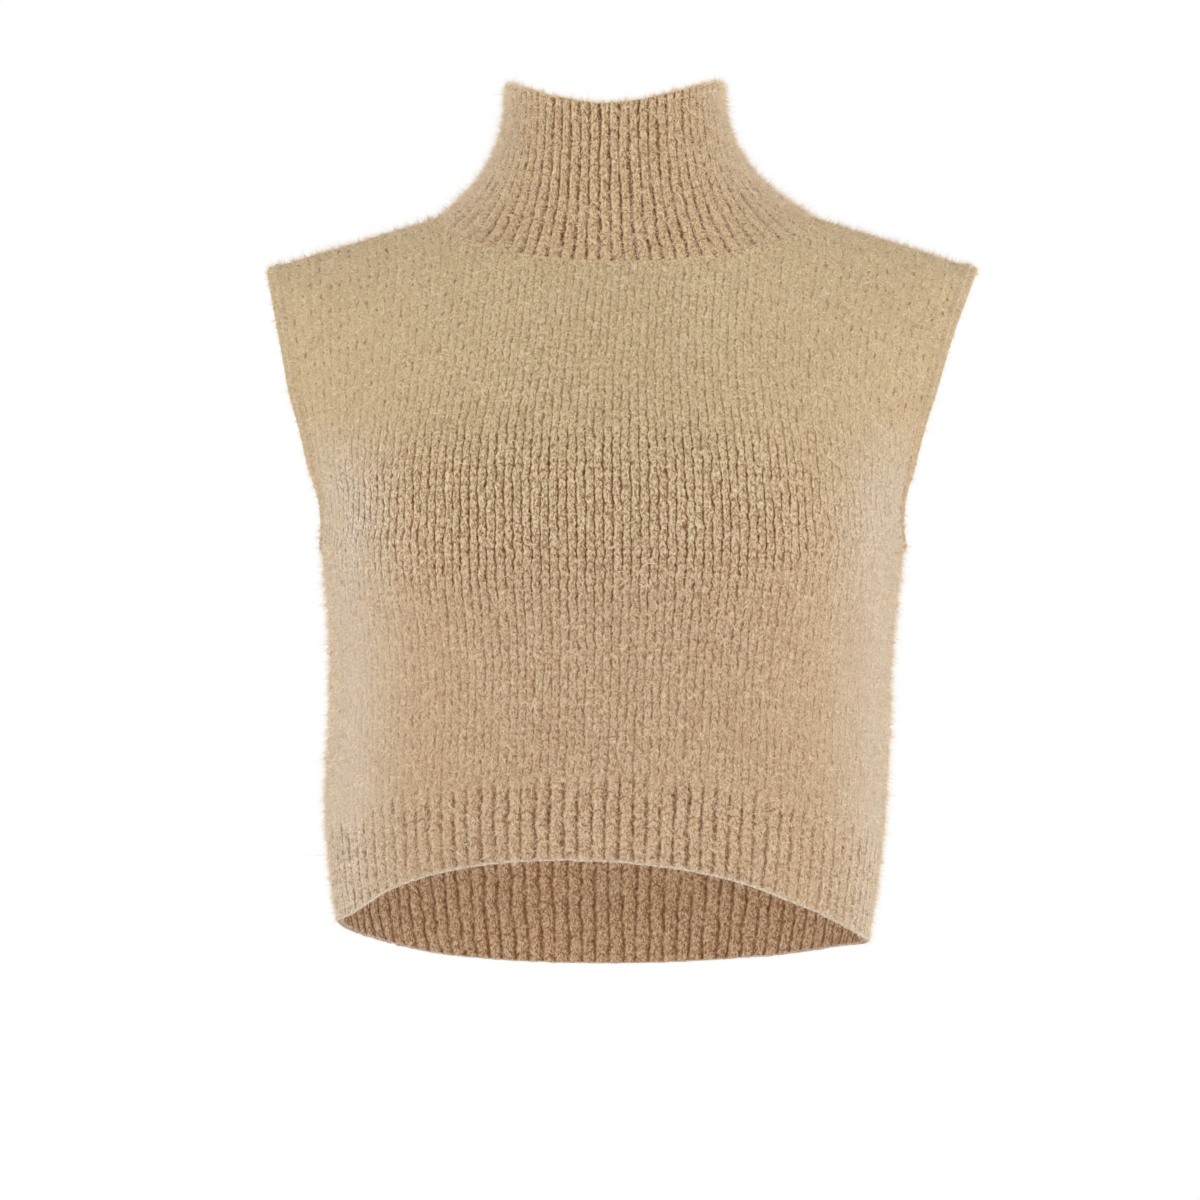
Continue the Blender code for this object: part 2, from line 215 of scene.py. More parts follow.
def worn_form(side, share, rise):
    """The cloth's form. Share runs from -1 to 1 over the full width, and rise from -1 at the hem rib over 0
    at the underarm to 1 at the shoulder, where the depth closes in on the ridge by a squared arc."""
    bottom = hem_heights(side, share)[1] + SEAM_GAP / 2
    body = body_form(side, share, UNDERARM + np.minimum(rise, 0) * (UNDERARM - bottom))
    climb = np.clip(rise, 0, 1)
    x = share * read_table(ARMHOLE_LEVELS, "half_width", climb)
    height = UNDERARM + climb * (ridge_height(x) - UNDERARM)
    yoke = level_form(side, share, x, height, squared_arc(climb, SHOULDER_FULLNESS[side]))
    return np.where((rise > 0)[..., None], yoke, body)


def armhole_share(rise):
    """The share of the full width that the armholes leave: an arc of the reach, which grows as a scoop."""
    climb = np.clip(rise / ARMHOLE_ROUNDING, 0, 1)
    return squared_arc(ARMHOLE_REACH * (1 - (1 - climb) ** 2) ** ARMHOLE_SCOOP, BODY_SQUARENESS)


def neck_rise(side, x):
    """The rise of the neck hole's edge at x: half of an ellipse that hangs from the neck points in front
    and stands on them behind, as a share of the way up to the ridge."""
    swing = FRONT_NECK_DROP if side == FRONT else -BACK_NECK_RISE
    height = NECK_POINT_HEIGHT - swing * np.sqrt(np.clip(1 - (x / NECK_POINT_X) ** 2, 0, 1))
    rise = np.minimum((height - UNDERARM) / (ridge_height(x) - UNDERARM), 1)
    return np.where(np.abs(x) < NECK_POINT_X, rise, 1)


def lengths_along(points):
    """Running length along the last but one axis of points."""
    steps = np.linalg.norm(np.diff(points, axis=-2), axis=-1)
    return np.concatenate([np.zeros_like(steps[..., :1]), np.cumsum(steps, axis=-1)], axis=-1)


def outward(surface, u, v, toward, at_seam, u_ends=(-1, 1), v_ends=(-1, 1)):
    """Unit normals: the cross product of the steps to both sides in each of the two parameters. On the side
    and shoulder seams they are turned into the plane of those seams."""
    along_u = surface(np.minimum(u + NUDGE, u_ends[1]), v) - surface(np.maximum(u - NUDGE, u_ends[0]), v)
    along_v = surface(u, np.minimum(v + NUDGE, v_ends[1])) - surface(u, np.maximum(v - NUDGE, v_ends[0]))
    normals = toward * np.cross(along_u, along_v)
    return unit(np.where(at_seam[..., None], normals * (1, 0, 1), normals))


def wavering(draw, rows, columns, every):
    """Random values on every few rows, joined by half cosine waves, for each column on its own."""
    knots = draw.normal(size=(rows // every + 2, columns))
    place = np.arange(rows) / every
    i = place.astype(int)
    t = ((1 - np.cos(np.pi * (place - i))) / 2)[:, None]
    return knots[i] * (1 - t) + knots[i + 1] * t


def stitches_shown(points):
    """How much of the stitches the pile lets through: the sum of soft rounds, one for each thin place. Each
    falls off with the fourth power of the distance sideways and the square of that up and down."""
    shown = 0
    for place in THIN_PILE:
        away_x = (points[..., 0] - place["x"]) / place["half_width"]
        away_z = (points[..., 2] - place["height"]) / place["half_height"]
        shown = shown + place["share"] * np.exp(-(away_x**4) - away_z**2)
    return np.clip(shown, 0, 1)


def painted_side_sheen(points):
    """How far the sides are painted pale as a sheen, from above the underarms down."""
    side = np.clip((np.abs(points[..., 0]) - SHEEN_FROM_X) / SHEEN_OVER_X, 0, 1)
    return side**1.5 * np.clip((SHEEN_TOP - points[..., 2]) / SHEEN_FADE, 0, 1)


def course_rises(side):
    """Rises of the rows: even from the rib to the underarm, and even in length from there to the ridge."""
    fine = 1 - np.linspace(1, 0, 400) ** 2
    run = lengths_along(worn_form(side, 0.5 * armhole_share(fine), fine))
    courses = round(run[-1] / COURSE)
    yoke = np.interp(np.linspace(0, run[-1], courses * COURSE_ROWS + 1), run, fine)
    return np.concatenate([np.linspace(-1, 0, BODY_COURSES * COURSE_ROWS + 1)[:-1], yoke])


def wales_kept(rises):
    """Half the number of wales on each row, fewer by a root of the way up the armhole's foot."""
    return HALF_WALES - (HALF_WALES - WALES_KEPT) * np.clip(rises / CAST_OFF_RISE, 0, 1) ** 0.5


def wale_shares(side, rises, wales, kept):
    """Shares of the full width for each wale on each row. The length from the middle is the edge's, times
    a blend of the wale's share and its cube, so that wales keep their width in the middle."""
    fine = np.sin(np.linspace(0, np.pi / 2, 300))
    edge_share = np.where(rises > 0, armhole_share(rises), 1)
    width = read_table(WALE_WIDTHS, "width", rises)
    shares = np.empty((len(rises), wales.shape[1]))
    for towards in (-1, 1):
        runs = lengths_along(worn_form(side, towards * fine[None, :], rises[:, None]))
        here = wales[0] > 0 if towards > 0 else wales[0] <= 0
        for i, run in enumerate(runs):
            edge_run = np.interp(edge_share[i], fine, run)
            even = width[i] * kept[i] / edge_run
            t = np.minimum(np.abs(wales[i, here]) / kept[i], 1)
            shares[i, here] = towards * np.interp(edge_run * (even * t + (1 - even) * t**3), run, fine)
    return shares


def cell_triangles(corner, slant):
    """Two triangles for each cell of a grid, split along the slant of its leg. Those with two equal corners
    are left out."""
    low_left, low_right = corner[:-1, :-1], corner[:-1, 1:]
    top_left, top_right = corner[1:, :-1], corner[1:, 1:]
    first = np.stack([low_left, low_right, np.where(slant, top_right, top_left)], -1)
    second = np.stack([np.where(slant, low_left, low_right), top_right, top_left], -1)
    faces = np.concatenate([first, second]).reshape(-1, 3)
    return faces[(faces != np.roll(faces, 1, axis=1)).all(axis=1)]


def knit_shell(name, outer, inner, knit_uv, tone, corner, slant, sparse_inside=False, inner_shift=0.0):
    """A closed body between two skins on one grid. Corner gives each grid point's representative, so that
    points gathered on an edge are one. Edges that one triangle alone uses are joined from skin to skin. A
    sparse inside keeps its edges and moves every other point inside them onto the next one. The inner shift
    carries the inside's stitches on by a part of the width, because a rib's furrow is a rib behind."""
    faces = cell_triangles(corner, slant)
    edges = np.concatenate([faces[:, [0, 1]], faces[:, [1, 2]], faces[:, [2, 0]]])
    key = np.sort(edges, axis=1) @ (corner.size, 1)
    _, where, times = np.unique(key, return_index=True, return_counts=True)
    start, end = edges[where[times == 1]].T
    inside = corner
    if sparse_inside:
        row, column = (np.minimum(i + i % 2, i.max()) for i in np.indices(corner.shape))
        inside = np.where(np.isin(corner, start), corner, corner[row, column])
    count = corner.size
    rim = [np.stack([end, start, start + count], -1), np.stack([end, start + count, end + count], -1)]
    faces = np.concatenate([faces, cell_triangles(inside, slant)[:, ::-1] + count, *rim])
    used, faces = np.unique(faces, return_inverse=True)
    points = np.reshape([outer, inner], (-1, 3))[used]
    uv = np.reshape([knit_uv, knit_uv + (inner_shift, 0)], (-1, 2))[used]
    tone = tone | {"inside": (0, 1)}
    tones = {key: np.ravel(np.broadcast_arrays(*skins, corner)[:2])[used] for key, skins in tone.items()}
    ends = np.searchsorted(used, np.concatenate([[start, end], np.add([start, end], count)], axis=1))
    return woven_mesh(name, points, faces.reshape(-1, 3), uv, tones, ends)


def new_object(name, data):
    made = bpy.data.objects.new(name, data)
    bpy.context.scene.collection.objects.link(made)
    return made


def woven_mesh(name, points, faces, uv, tones, sharp=None):
    """A mesh of points and triangles, with its UV map and an attribute for each tone. Sharp is two rows of
    points: the ends of the edges that aren't shaded smooth, which are a wall's corners."""
    points, uv = points.reshape(-1, 3), uv.reshape(-1, 2)
    mesh = bpy.data.meshes.new(name)
    mesh.vertices.add(len(points))
    mesh.vertices.foreach_set("co", points.astype(np.float32).ravel())
    mesh.loops.add(faces.size)
    mesh.loops.foreach_set("vertex_index", faces.astype(np.int32).ravel())
    mesh.polygons.add(len(faces))
    mesh.polygons.foreach_set("loop_start", np.arange(0, faces.size, 3, dtype=np.int32))
    mesh.update(calc_edges=True)
    layer = mesh.uv_layers.new(name="knit")
    layer.data.foreach_set("uv", uv[faces.ravel()].astype(np.float32).ravel())
    for key, values in tones.items():
        attribute = mesh.attributes.new(key, "FLOAT", "POINT")
        attribute.data.foreach_set("value", np.broadcast_to(values, len(points)).astype(np.float32))
    mesh.shade_smooth()
    if sharp is not None:
        pairs = np.empty(2 * len(mesh.edges), np.int32)
        mesh.edges.foreach_get("vertices", pairs)
        keys = np.sort(pairs.reshape(-1, 2), axis=1) @ (len(points), 1)
        corners = np.isin(keys, np.sort(sharp.T, axis=1) @ (len(points), 1))
        mesh.attributes.new("sharp_edge", "BOOLEAN", "EDGE").data.foreach_set("value", corners)
    return new_object(name, mesh)


def stockinette_panel(name, side, seed):
    """The panel's grid has four columns a wale and two rows a course. Heights follow the V of each stitch,
    with a wavering size, and are less where the pile hides the stitches."""
    draw = np.random.default_rng(seed)
    rises = course_rises(side)
    half = HALF_WALES * WALE_COLUMNS
    columns = np.arange(-half, half + 1)
    phase = columns % WALE_COLUMNS
    parting = (np.arange(len(rises)) % COURSE_ROWS == 1)[:, None]
    wale = columns // WALE_COLUMNS + HALF_WALES
    sway = WALE_SWAY * wavering(draw, len(rises), wale.max() + 1, 3)[:, wale]
    closing = np.where(parting, -1, 1) * STOCKINETTE["closing"][phase]
    kept = wales_kept(rises)
    edge = np.minimum(np.ceil(kept * WALE_COLUMNS), half)[:, None]
    calm = np.clip((edge - np.abs(columns)) / WALE_COLUMNS, 0, 1)
    wales = columns / WALE_COLUMNS + (sway + closing) * calm * (columns != 0)
    wales = np.where(calm == 0, np.sign(columns) * HALF_WALES, wales)
    shares = wale_shares(side, rises, wales, kept)
    rises = np.broadcast_to(rises[:, None], shares.shape)

    # The neck hole: each column stops where it first crosses the hole's edge
    points = worn_form(side, shares, rises)
    beyond = rises - neck_rise(side, points[..., 0] - read_table(LEAN, "shift", points[..., 2]))
    ends = np.argmax(beyond > 0, axis=0)
    cut = (beyond > 0).any(axis=0)
    each = np.arange(shares.shape[1])
    before, after = beyond[ends - 1, each], beyond[ends, each]
    t = np.where(cut, -before / np.where(cut, after - before, 1), 1)
    end_share, end_rise = (at[ends - 1, each] * (1 - t) + at[ends, each] * t for at in (shares, rises))
    ends = np.where(cut, ends, len(rises) - 1)
    row = np.arange(len(rises))[:, None]
    over = cut & (row >= ends)
    shares, rises = np.where(over, end_share, shares), np.where(over, end_rise, rises)

    # The armholes: the wales that are cast off gather on the edge
    column = (np.clip(columns, -edge, edge) + half).astype(int)
    corner = np.minimum(row, ends) * len(columns) + column
    on_edge = (column != columns + half) | (row >= ends) | (row == 0)

    surface = partial(worn_form, side)
    smooth = surface(shares, rises)
    at_seam = (rises == 1) | ((np.abs(shares) == 1) & (rises <= 0))
    normals = outward(surface, shares, rises, -side, at_seam)
    shown = stitches_shown(smooth)
    height = np.where(parting, STOCKINETTE["parting"][phase], STOCKINETTE["tip"][phase])
    own = wavering(draw, len(rises), wale.max() + 1, 2)[:, wale]
    height = height + np.where(phase == 0, GAP_WAVER, LEG_WAVER) * own
    height = height + draw.normal(0, STITCH_ROUGHNESS, height.shape)
    relief = STITCH_RELIEF * (HIDDEN_RELIEF + (1 - HIDDEN_RELIEF) * shown) * height
    outer = smooth + np.where(on_edge, 0, relief)[..., None] * normals
    purl = np.where(parting, 1, -1) * np.where(phase % 2 == 0, 1, 0.5)
    purl = purl + draw.normal(0, PURL_ROUGHNESS, height.shape)
    inner = smooth - (WALL - PURL_RELIEF * np.where(on_edge, 0, purl))[..., None] * normals
    uv = np.stack(np.broadcast_arrays(columns / (2 * half) + 0.5, row / len(rises)), -1)
    tone = {
        "lie": (np.clip(0.5 + 0.5 * height, 0, 1), np.clip(0.55 + 0.35 * purl, 0, 1)),
        "shown": (shown, INNER_SHOWN),
        # Pale is the painted sheen along the sides
        "pale": (painted_side_sheen(smooth), 0),
    }
    live = corner == row * len(columns) + np.arange(len(columns))
    slant = phase[:-1] >= WALE_COLUMNS // 2
    # The back's columns are taken the other way round, so that its faces look outwards
    panel = knit_shell(name, outer, inner, uv, tone, corner[:, ::-side], slant, sparse_inside=True)
    return panel, (outer, normals, live, shown, inner)


def linear(*bytes_):
    """A colour given from 0 to 255, as the shader's linear values."""
    share = np.array(bytes_) / 255
    return (*np.where(share <= 0.04045, share / 12.92, ((share + 0.055) / 1.055) ** 2.4).tolist(), 1)


class Nodes:
    """Short ways to add and join the nodes of a material or of the world."""

    def __init__(self, owner):
        owner.use_nodes = True
        self.owner = owner
        self.tree = owner.node_tree

    def add(self, kind, inputs=(), **settings):
        node = self.tree.nodes.new("ShaderNode" + kind)
        for key, value in settings.items():
            setattr(node, key, value)
        self.give(node, inputs)
        return node

    def give(self, node, inputs):
        for key, value in dict(inputs).items():
            if isinstance(value, bpy.types.NodeSocket):
                self.tree.links.new(value, node.inputs[key])
            else:
                node.inputs[key].default_value = value

    def shade(self, inputs):
        """Gives the shader its inputs, and the material to the caller."""
        self.give(self.tree.nodes["Principled BSDF"], inputs)
        return self.owner

    def attribute(self, name):
        return self.add("Attribute", attribute_name=name).outputs["Fac"]

    def knit_map(self):
        return self.add("SeparateXYZ", {0: self.add("UVMap", uv_map="knit").outputs[0]}).outputs

    def maths(self, operation, a, b=0.0, c=0.0):
        return self.add("Math", {0: a, 1: b, 2: c}, operation=operation).outputs[0]

    def from_half(self, value):
        return self.maths("ABSOLUTE", self.maths("SUBTRACT", value, 0.5))

    def mix(self, factor, a, b):
        return self.add("Mix", {0: factor, 6: a, 7: b}, data_type="RGBA").outputs[2]

    def ramp(self, value, low, high, to_low=0.0, to_high=1.0):
        inputs = {0: value, 1: low, 2: high, 3: to_low, 4: to_high}
        return self.add("MapRange", inputs, interpolation_type="SMOOTHSTEP").outputs[0]

    def noise(self, vector, scale=1.0, detail=2.0):
        inputs = {"Vector": vector, "Scale": scale, "Detail": detail, "Roughness": 0.6}
        return self.add("TexNoise", inputs).outputs["Fac"]


# Painted shade for the gaps, and a painted highlight for the flecks, lit sides and fibres
GAP_SHADE_COLOUR = linear(108, 55, 2)
FLECK_HIGHLIGHT_COLOUR = linear(255, 246, 222)
# A painted sheen for the sides
PAINTED_SHEEN_COLOUR = linear(244, 232, 218)
# Painted light above and painted shade below
LIT_UPPER_COLOUR = linear(226, 197, 132)
SHADED_LOWER_COLOUR = linear(210, 165, 113)
# Painted shade for the inside skins
INSIDE_SHADE_COLOUR = linear(234, 167, 102)
LOWER_TOP, UPPER_BOTTOM = -0.23, -0.07  # the heights over which the painted shade below turns into the painted light above

# Sizes of the noises, in turns a metre, and how each is tilted to the stitches.
FLECKS = (820, 820, 500), 0.15
FINE_FLECKS = (1150, 1150, 800), -0.3
FIBRES = ((330, 330, 200), 0.5), ((300, 300, 170), -0.5)
CLOUDS = 16.0


def brushed_knit(
    name, wales, courses, upper=LIT_UPPER_COLOUR, lower=SHADED_LOWER_COLOUR, gap_from=0.62, steady=0.0, depth=1.0
):
    """Brushed yarn. Fold runs from 0 in the middle of a wale to 1 in the gap beside it, and sways by a
    noise. The gaps are painted dark as shade where a long streaked noise opens them and the pile shows
    them, or all along where they are steady, and in short dashes where another noise is high; depth scales
    this painted shade. Over them lie the chevrons of the stitches in painted shade, a painted highlight on
    one side of each wale, a grain of short flecks in painted highlight and shade, and loose fibres as
    painted
    highlights: thin ridges of noises."""
    nodes = Nodes(bpy.data.materials.new(name))
    words = "MULTIPLY", "ADD", "SUBTRACT", "MULTIPLY_ADD"
    times, plus, less, scaled = (partial(nodes.maths, word) for word in words)
    ramp, mix = nodes.ramp, nodes.mix
    shown, lie, pale, inside = (nodes.attribute(key) for key in ("shown", "lie", "pale", "inside"))
    place = nodes.add("TexCoord").outputs["Object"]
    knit = nodes.knit_map()
    across, along = times(knit[0], wales), times(knit[1], courses)

    def stitch_noise(across_scale, along_scale, detail=1.0):
        inputs = {0: times(across, across_scale), 1: times(along, along_scale)}
        return nodes.noise(nodes.add("CombineXYZ", inputs).outputs[0], detail=detail)

    def grain_noise(scale, turn, detail):
        inputs = {"Vector": place, "Rotation": (0, turn, 0), "Scale": scale}
        return nodes.noise(nodes.add("Mapping", inputs).outputs[0], detail=detail)

    # The painted shade in the gaps between the wales, where they open, and the painted highlight on one
    # side of each wale
    sway = times(less(stitch_noise(0.8, 0.7), 0.5), 0.62 - 0.3 * steady)
    over = nodes.maths("FRACT", plus(across, sway))
    fold = times(nodes.from_half(over), 2.0)
    streak = scaled(shown, 0.16, stitch_noise(1.0, 0.28, 2.0))
    open_gap = ramp(streak, 0.46, 0.58, 0.10 + 0.5 * steady, 1.0)
    open_gap = times(open_gap, ramp(stitch_noise(2.1, 1.1), 0.30, 0.50, 0.55 + 0.1 * steady, 1.0))
    in_gap = times(ramp(fold, gap_from, 1.0), open_gap)
    gap_shown = ramp(shown, 0.0, 0.74, 0.12 * depth, depth)
    dash = times(ramp(stitch_noise(1.0, 0.62), 0.51, 0.61, 0.0, 0.56 * depth), scaled(pale, -0.8, 1.0))
    dash = times(dash, ramp(fold, 0.58, 0.96))
    lit = times(ramp(over, 0.08, 0.20), ramp(over, 0.50, 0.28))
    lit = times(lit, ramp(stitch_noise(2.3, 1.5), 0.38, 0.60))

    # The chevrons, the flecks and the fibres
    tooth = nodes.maths("FRACT", plus(times(fold, 0.6), plus(along, sway)))
    tooth = ramp(times(nodes.from_half(tooth), 2.0), 0.58, 1.0)
    tooth = times(tooth, ramp(stitch_noise(1.7, 1.1), 0.40, 0.60))
    flecks = ramp(grain_noise(*FLECKS, 2.0), 0.38, 0.62)
    fine = ramp(grain_noise(*FINE_FLECKS, 1.0), 0.36, 0.64)
    fibres = 0.0
    for scale, turn in FIBRES:
        ridge = ramp(nodes.from_half(grain_noise(scale, turn, 1.5)), 0.035, 0.0)
        fibres = nodes.maths("MAXIMUM", fibres, ridge)

    # The colour: the yarn's, lighter and yellower above as painted light, darker and pinker below as
    # painted shade, paler at the sides as a painted sheen and darker orange inside as painted shade; then
    # painted highlight and shade by the flecks, random darker clouds, painted shade in the gaps, and
    # painted highlights on the lit sides and fibres
    level = nodes.add("SeparateXYZ", {0: place}).outputs[2]
    yarn = mix(ramp(level, LOWER_TOP, UPPER_BOTTOM), lower, upper)
    yarn = mix(times(pale, 0.72), yarn, PAINTED_SHEEN_COLOUR)
    yarn = mix(times(inside, 0.75), yarn, INSIDE_SHADE_COLOUR)
    light, deep = mix(0.55, yarn, FLECK_HIGHLIGHT_COLOUR), mix(0.72, yarn, GAP_SHADE_COLOUR)
    contrast = scaled(inside, 0.25, scaled(shown, 0.68, 0.13))
    speck = scaled(less(scaled(flecks, 0.45, times(fine, 0.55)), 0.5), contrast, 0.5)
    speck = less(speck, times(times(tooth, shown), 0.52))
    toned = mix(ramp(speck, 0.0, 1.0), deep, light)
    toned = mix(ramp(nodes.noise(place, CLOUDS), 0.35, 0.65, 0.0, 0.08), toned, deep)
    toned = mix(nodes.maths("MAXIMUM", times(in_gap, gap_shown), dash), toned, GAP_SHADE_COLOUR)
    toned = mix(times(lit, scaled(shown, 0.50, 0.12)), toned, light)
    colour = mix(times(fibres, 0.15), toned, light)

    height = scaled(flecks, 0.6, times(fine, 0.3))
    height = less(height, times(plus(tooth, in_gap), 0.35))
    height = plus(height, scaled(fibres, 0.25, times(lie, 0.05)))
    bump = nodes.add("Bump", {"Height": height, "Strength": 0.8, "Distance": 0.0007})
    cloth = {"Base Color": colour, "Normal": bump.outputs[0], "Roughness": 0.95, "Specular IOR Level": 0.1}
    sheen = {"Sheen Weight": 0.07, "Sheen Roughness": 0.5, "Sheen Tint": linear(255, 246, 236)}
    return nodes.shade(cloth | sheen)


def dress(piece, material, solid, replaces=False):
    """Gives a piece its material and the one body, and hides the solid if the piece stands for it."""
    piece.data.materials.append(material)
    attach(piece, "root")
    if replaces:
        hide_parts(solid)


front, front_grid = stockinette_panel("front_knit", FRONT, 11)
dress(front, brushed_knit("front_yarn", 2 * HALF_WALES, ALL_COURSES), "front_panel", replaces=True)


# --------------------
# The back: a second panel of the same stockinette, a little higher at the neck and flatter over the
# shoulder blades, linked to the front at both sides and along the shoulder ridge.

back, back_grid = stockinette_panel("back_knit", BACK, 12)
dress(back, brushed_knit("back_yarn", 2 * HALF_WALES, ALL_COURSES), "back_panel", replaces=True)


# --------------------
# The hem: two bands of 1x1 rib in the same yarn, each a row of knit ribs that stand up between purl
# furrows on both faces. The front one is raised in the middle, and their cast-on edges are thin cords,
# painted pale all over as a highlight.

HEM_COURSES = 12
RIB_COLUMNS = 8
RIB_RELIEF = 0.00060
RIB_MIDDLE = -0.00050  # of the relief, below the solid's ridges
RIB_THINNING = 0.00060  # how much less than the wall a rib's middle is
STITCH_OWN, RIB_WAVER, RIB_ROUGHNESS = 0.14, 0.18, 0.07  # of the relief
RIB_SWAY = 0.05  # of its width
RIB_RUNS_OUT = 0.14  # of the band's height, at most, below the panel
FOOT_FADE, TOP_FADE = 0.04, 0.10  # of the band's height, over which its relief rises and falls
FADE_ROUNDING = 0.7
HEM_SHOWN, HEM_INNER_SHOWN = 0.24, 0.54  # the first is added to the place's own
FOOT_HIGHLIGHT, FOOT_HIGHLIGHT_HEIGHT = 0.8, 0.05  # how far the foot is painted pale as a highlight, and over how much of the height
# The hem's colour, with the painted shade of the lower body
HEM_LOWER = linear(211, 166, 113)
CORD_RADIUS = 0.0007
CORD_SWAY = 0.00015
CORD_DEPTH = 0.0003  # of its middle under the outer skin

# One row a column of points in a rib, from the furrow before it: the yarn's height at the tip of each V and
# where its legs part.
RIB = table(
    "tip parting",
    (-1.0, -0.7), (-0.3, -0.1), (0.3, 0.5), (0.7, 1.0), (0.45, 0.2),
    (0.7, 1.0), (0.3, 0.5), (-0.3, -0.1),
)


def rib_heights(draw, rows, columns, rib):
    """Heights of a rib knit: the table's, with a size of its own for each stitch, a wavering one for each
    furrow, and a little roughness everywhere."""
    phase = columns % RIB_COLUMNS
    row = np.arange(rows)[:, None]
    height = np.where(row % COURSE_ROWS == 1, RIB["parting"][phase], RIB["tip"][phase])
    course = row // COURSE_ROWS
    own = draw.normal(size=(course.max() + 1, rib.max() + 1))[course, rib]
    waver = wavering(draw, rows, rib.max() + 1, 4)[:, rib]
    height = height + np.where(height > 0, STITCH_OWN * own, RIB_WAVER * waver)
    return height + draw.normal(0, RIB_ROUGHNESS, height.shape)


def rib_sway(draw, rows, rib):
    """How far each rib strays to its sides, as a share of its width."""
    return RIB_SWAY * wavering(draw, rows, rib.max() + 1, 6)[:, rib]


def rib_shell(name, side, ribs, smooth, normals, height, fade, shown, pale, foot=None):
    """A wall of rib. Its outer skin follows the heights, and the inner one their opposite, because a rib's
    furrow is a rib on its other face. Fade takes the relief down at the wall's ends, shown and pale are
    given for both skins, and the foot is the inner skin's first row."""
    rows, columns = height.shape
    relief = RIB_MIDDLE + RIB_RELIEF * height
    outer = smooth + (fade * relief)[..., None] * normals
    inner = smooth - (WALL - fade * (relief + RIB_THINNING))[..., None] * normals
    if foot is not None:
        inner[0] = foot
    uv = np.stack(np.meshgrid(np.linspace(0, 1, columns), np.linspace(0, 1, rows)), -1)
    lie = np.clip(0.5 + 0.5 * height * fade, 0, 1)
    tone = {"lie": (lie, 1 - lie), "shown": shown, "pale": pale}
    corner = np.arange(rows * columns).reshape(rows, columns)[:, ::-side]
    slant = np.arange(columns - 1) % RIB_COLUMNS >= RIB_COLUMNS // 2
    wall = knit_shell(name, outer, inner, uv, tone, corner, slant, inner_shift=0.5 / ribs)
    return wall, (outer, normals, corner >= 0, shown[0], inner)


def hem_band(name, side, ribs, seed):
    """A band of the body's form from the hem line up to the panel, with eight columns a rib, evenly spaced
    along the hem, and two rows a course. Each rib runs out a little before the panel."""
    draw = np.random.default_rng(seed)
    columns = np.arange(ribs * RIB_COLUMNS + 1)
    rib = columns // RIB_COLUMNS
    rows = HEM_COURSES * COURSE_ROWS + 1
    fine = np.sin(np.linspace(-np.pi / 2, np.pi / 2, 2001))
    run = lengths_along(body_form(side, fine, hem_heights(side, fine)[0]))
    place = columns / columns[-1]
    place = place + rib_sway(draw, rows, rib) / ribs * np.sin(np.pi * place) ** 0.2
    share = np.clip(np.interp(place * run[-1], run, fine), -1, 1)
    bottom, top = hem_heights(side, share)
    climb = np.linspace(0, 1, rows)[:, None]
    level = bottom + climb * (top - SEAM_GAP / 2 - bottom)
    surface = partial(body_form, side)
    smooth = surface(share, level)
    normals = outward(surface, share, level, -side, np.abs(share) == 1, v_ends=ANY)
    sheen_sides = painted_side_sheen(smooth)
    height = rib_heights(draw, rows, columns, rib) * (1 - 0.1 * sheen_sides)
    top_gap = 1 - climb - RIB_RUNS_OUT * draw.random(rib.max() + 1)[rib]
    fade = np.clip(np.minimum(climb / FOOT_FADE, top_gap / TOP_FADE), 0, 1) ** FADE_ROUNDING
    shown = np.clip(stitches_shown(smooth) + HEM_SHOWN + 0.22 * sheen_sides, 0, 1) * (0.45 + 0.55 * fade)
    # The sides get the painted sheen, and the foot a painted highlight
    edge = FOOT_HIGHLIGHT * np.clip(1 - climb / FOOT_HIGHLIGHT_HEIGHT, 0, 1)
    pale = np.clip(sheen_sides + edge, 0, 1), edge
    return rib_shell(name, side, ribs, smooth, normals, height, fade, (shown, HEM_INNER_SHOWN), pale)


def raised_band(name, line, normals, across, half_width, height, depth, columns, uv_width, pale=0.0):
    """A closed cord along a line: across it, half an ellipse as high as the height above half an ellipse as
    deep as the depth. Its last column meets its first."""
    angle = np.linspace(0, 2 * np.pi, columns, endpoint=False)
    out = np.sin(angle) * np.where(np.sin(angle) > 0, height[:, None], depth)
    sideways = half_width * np.cos(angle)[:, None] * across[:, None]
    points = line[:, None] + sideways + out[..., None] * normals[:, None]
    rows = len(line)
    index = np.arange(out.size).reshape(out.shape)
    faces = cell_triangles(np.column_stack([index, index[:, 0]]).T, True)
    uv = np.stack(np.meshgrid(np.linspace(0, uv_width, columns), np.linspace(0, 1, rows)), -1)
    lie = np.tile(0.5 + 0.5 * np.sin(angle) / np.sin(angle).max(), rows)
    return woven_mesh(name, points, faces, uv, {"lie": lie, "shown": 0.5, "pale": pale})


def cast_on_edge(name, side, seed):
    """A thin round cord that sways a little along the band's lower edge, at the wall's outer corner."""
    draw = np.random.default_rng(seed)
    fine = np.sin(np.linspace(-np.pi / 2, np.pi / 2, 360))
    low = hem_heights(side, fine)[0]
    line = body_form(side, fine, low)
    normals = outward(partial(body_form, side), fine, low, -side, np.abs(fine) == 1, v_ends=ANY)
    along = np.gradient(line, axis=0)
    along[[0, -1]] = along[[1, -2]] * (0, 1, 1)
    down = unit(np.cross(normals, along) * side)
    sway = wavering(draw, len(fine), 2, 3)
    line = line + CORD_SWAY * (sway[:, :1] * normals + sway[:, 1:] * down) - CORD_DEPTH * normals
    radius = np.full(len(line), CORD_RADIUS)
    # The cord is painted pale all over as a highlight
    return raised_band(name, line, normals, down, CORD_RADIUS, radius, CORD_RADIUS, 8, 1.0, pale=1.0)


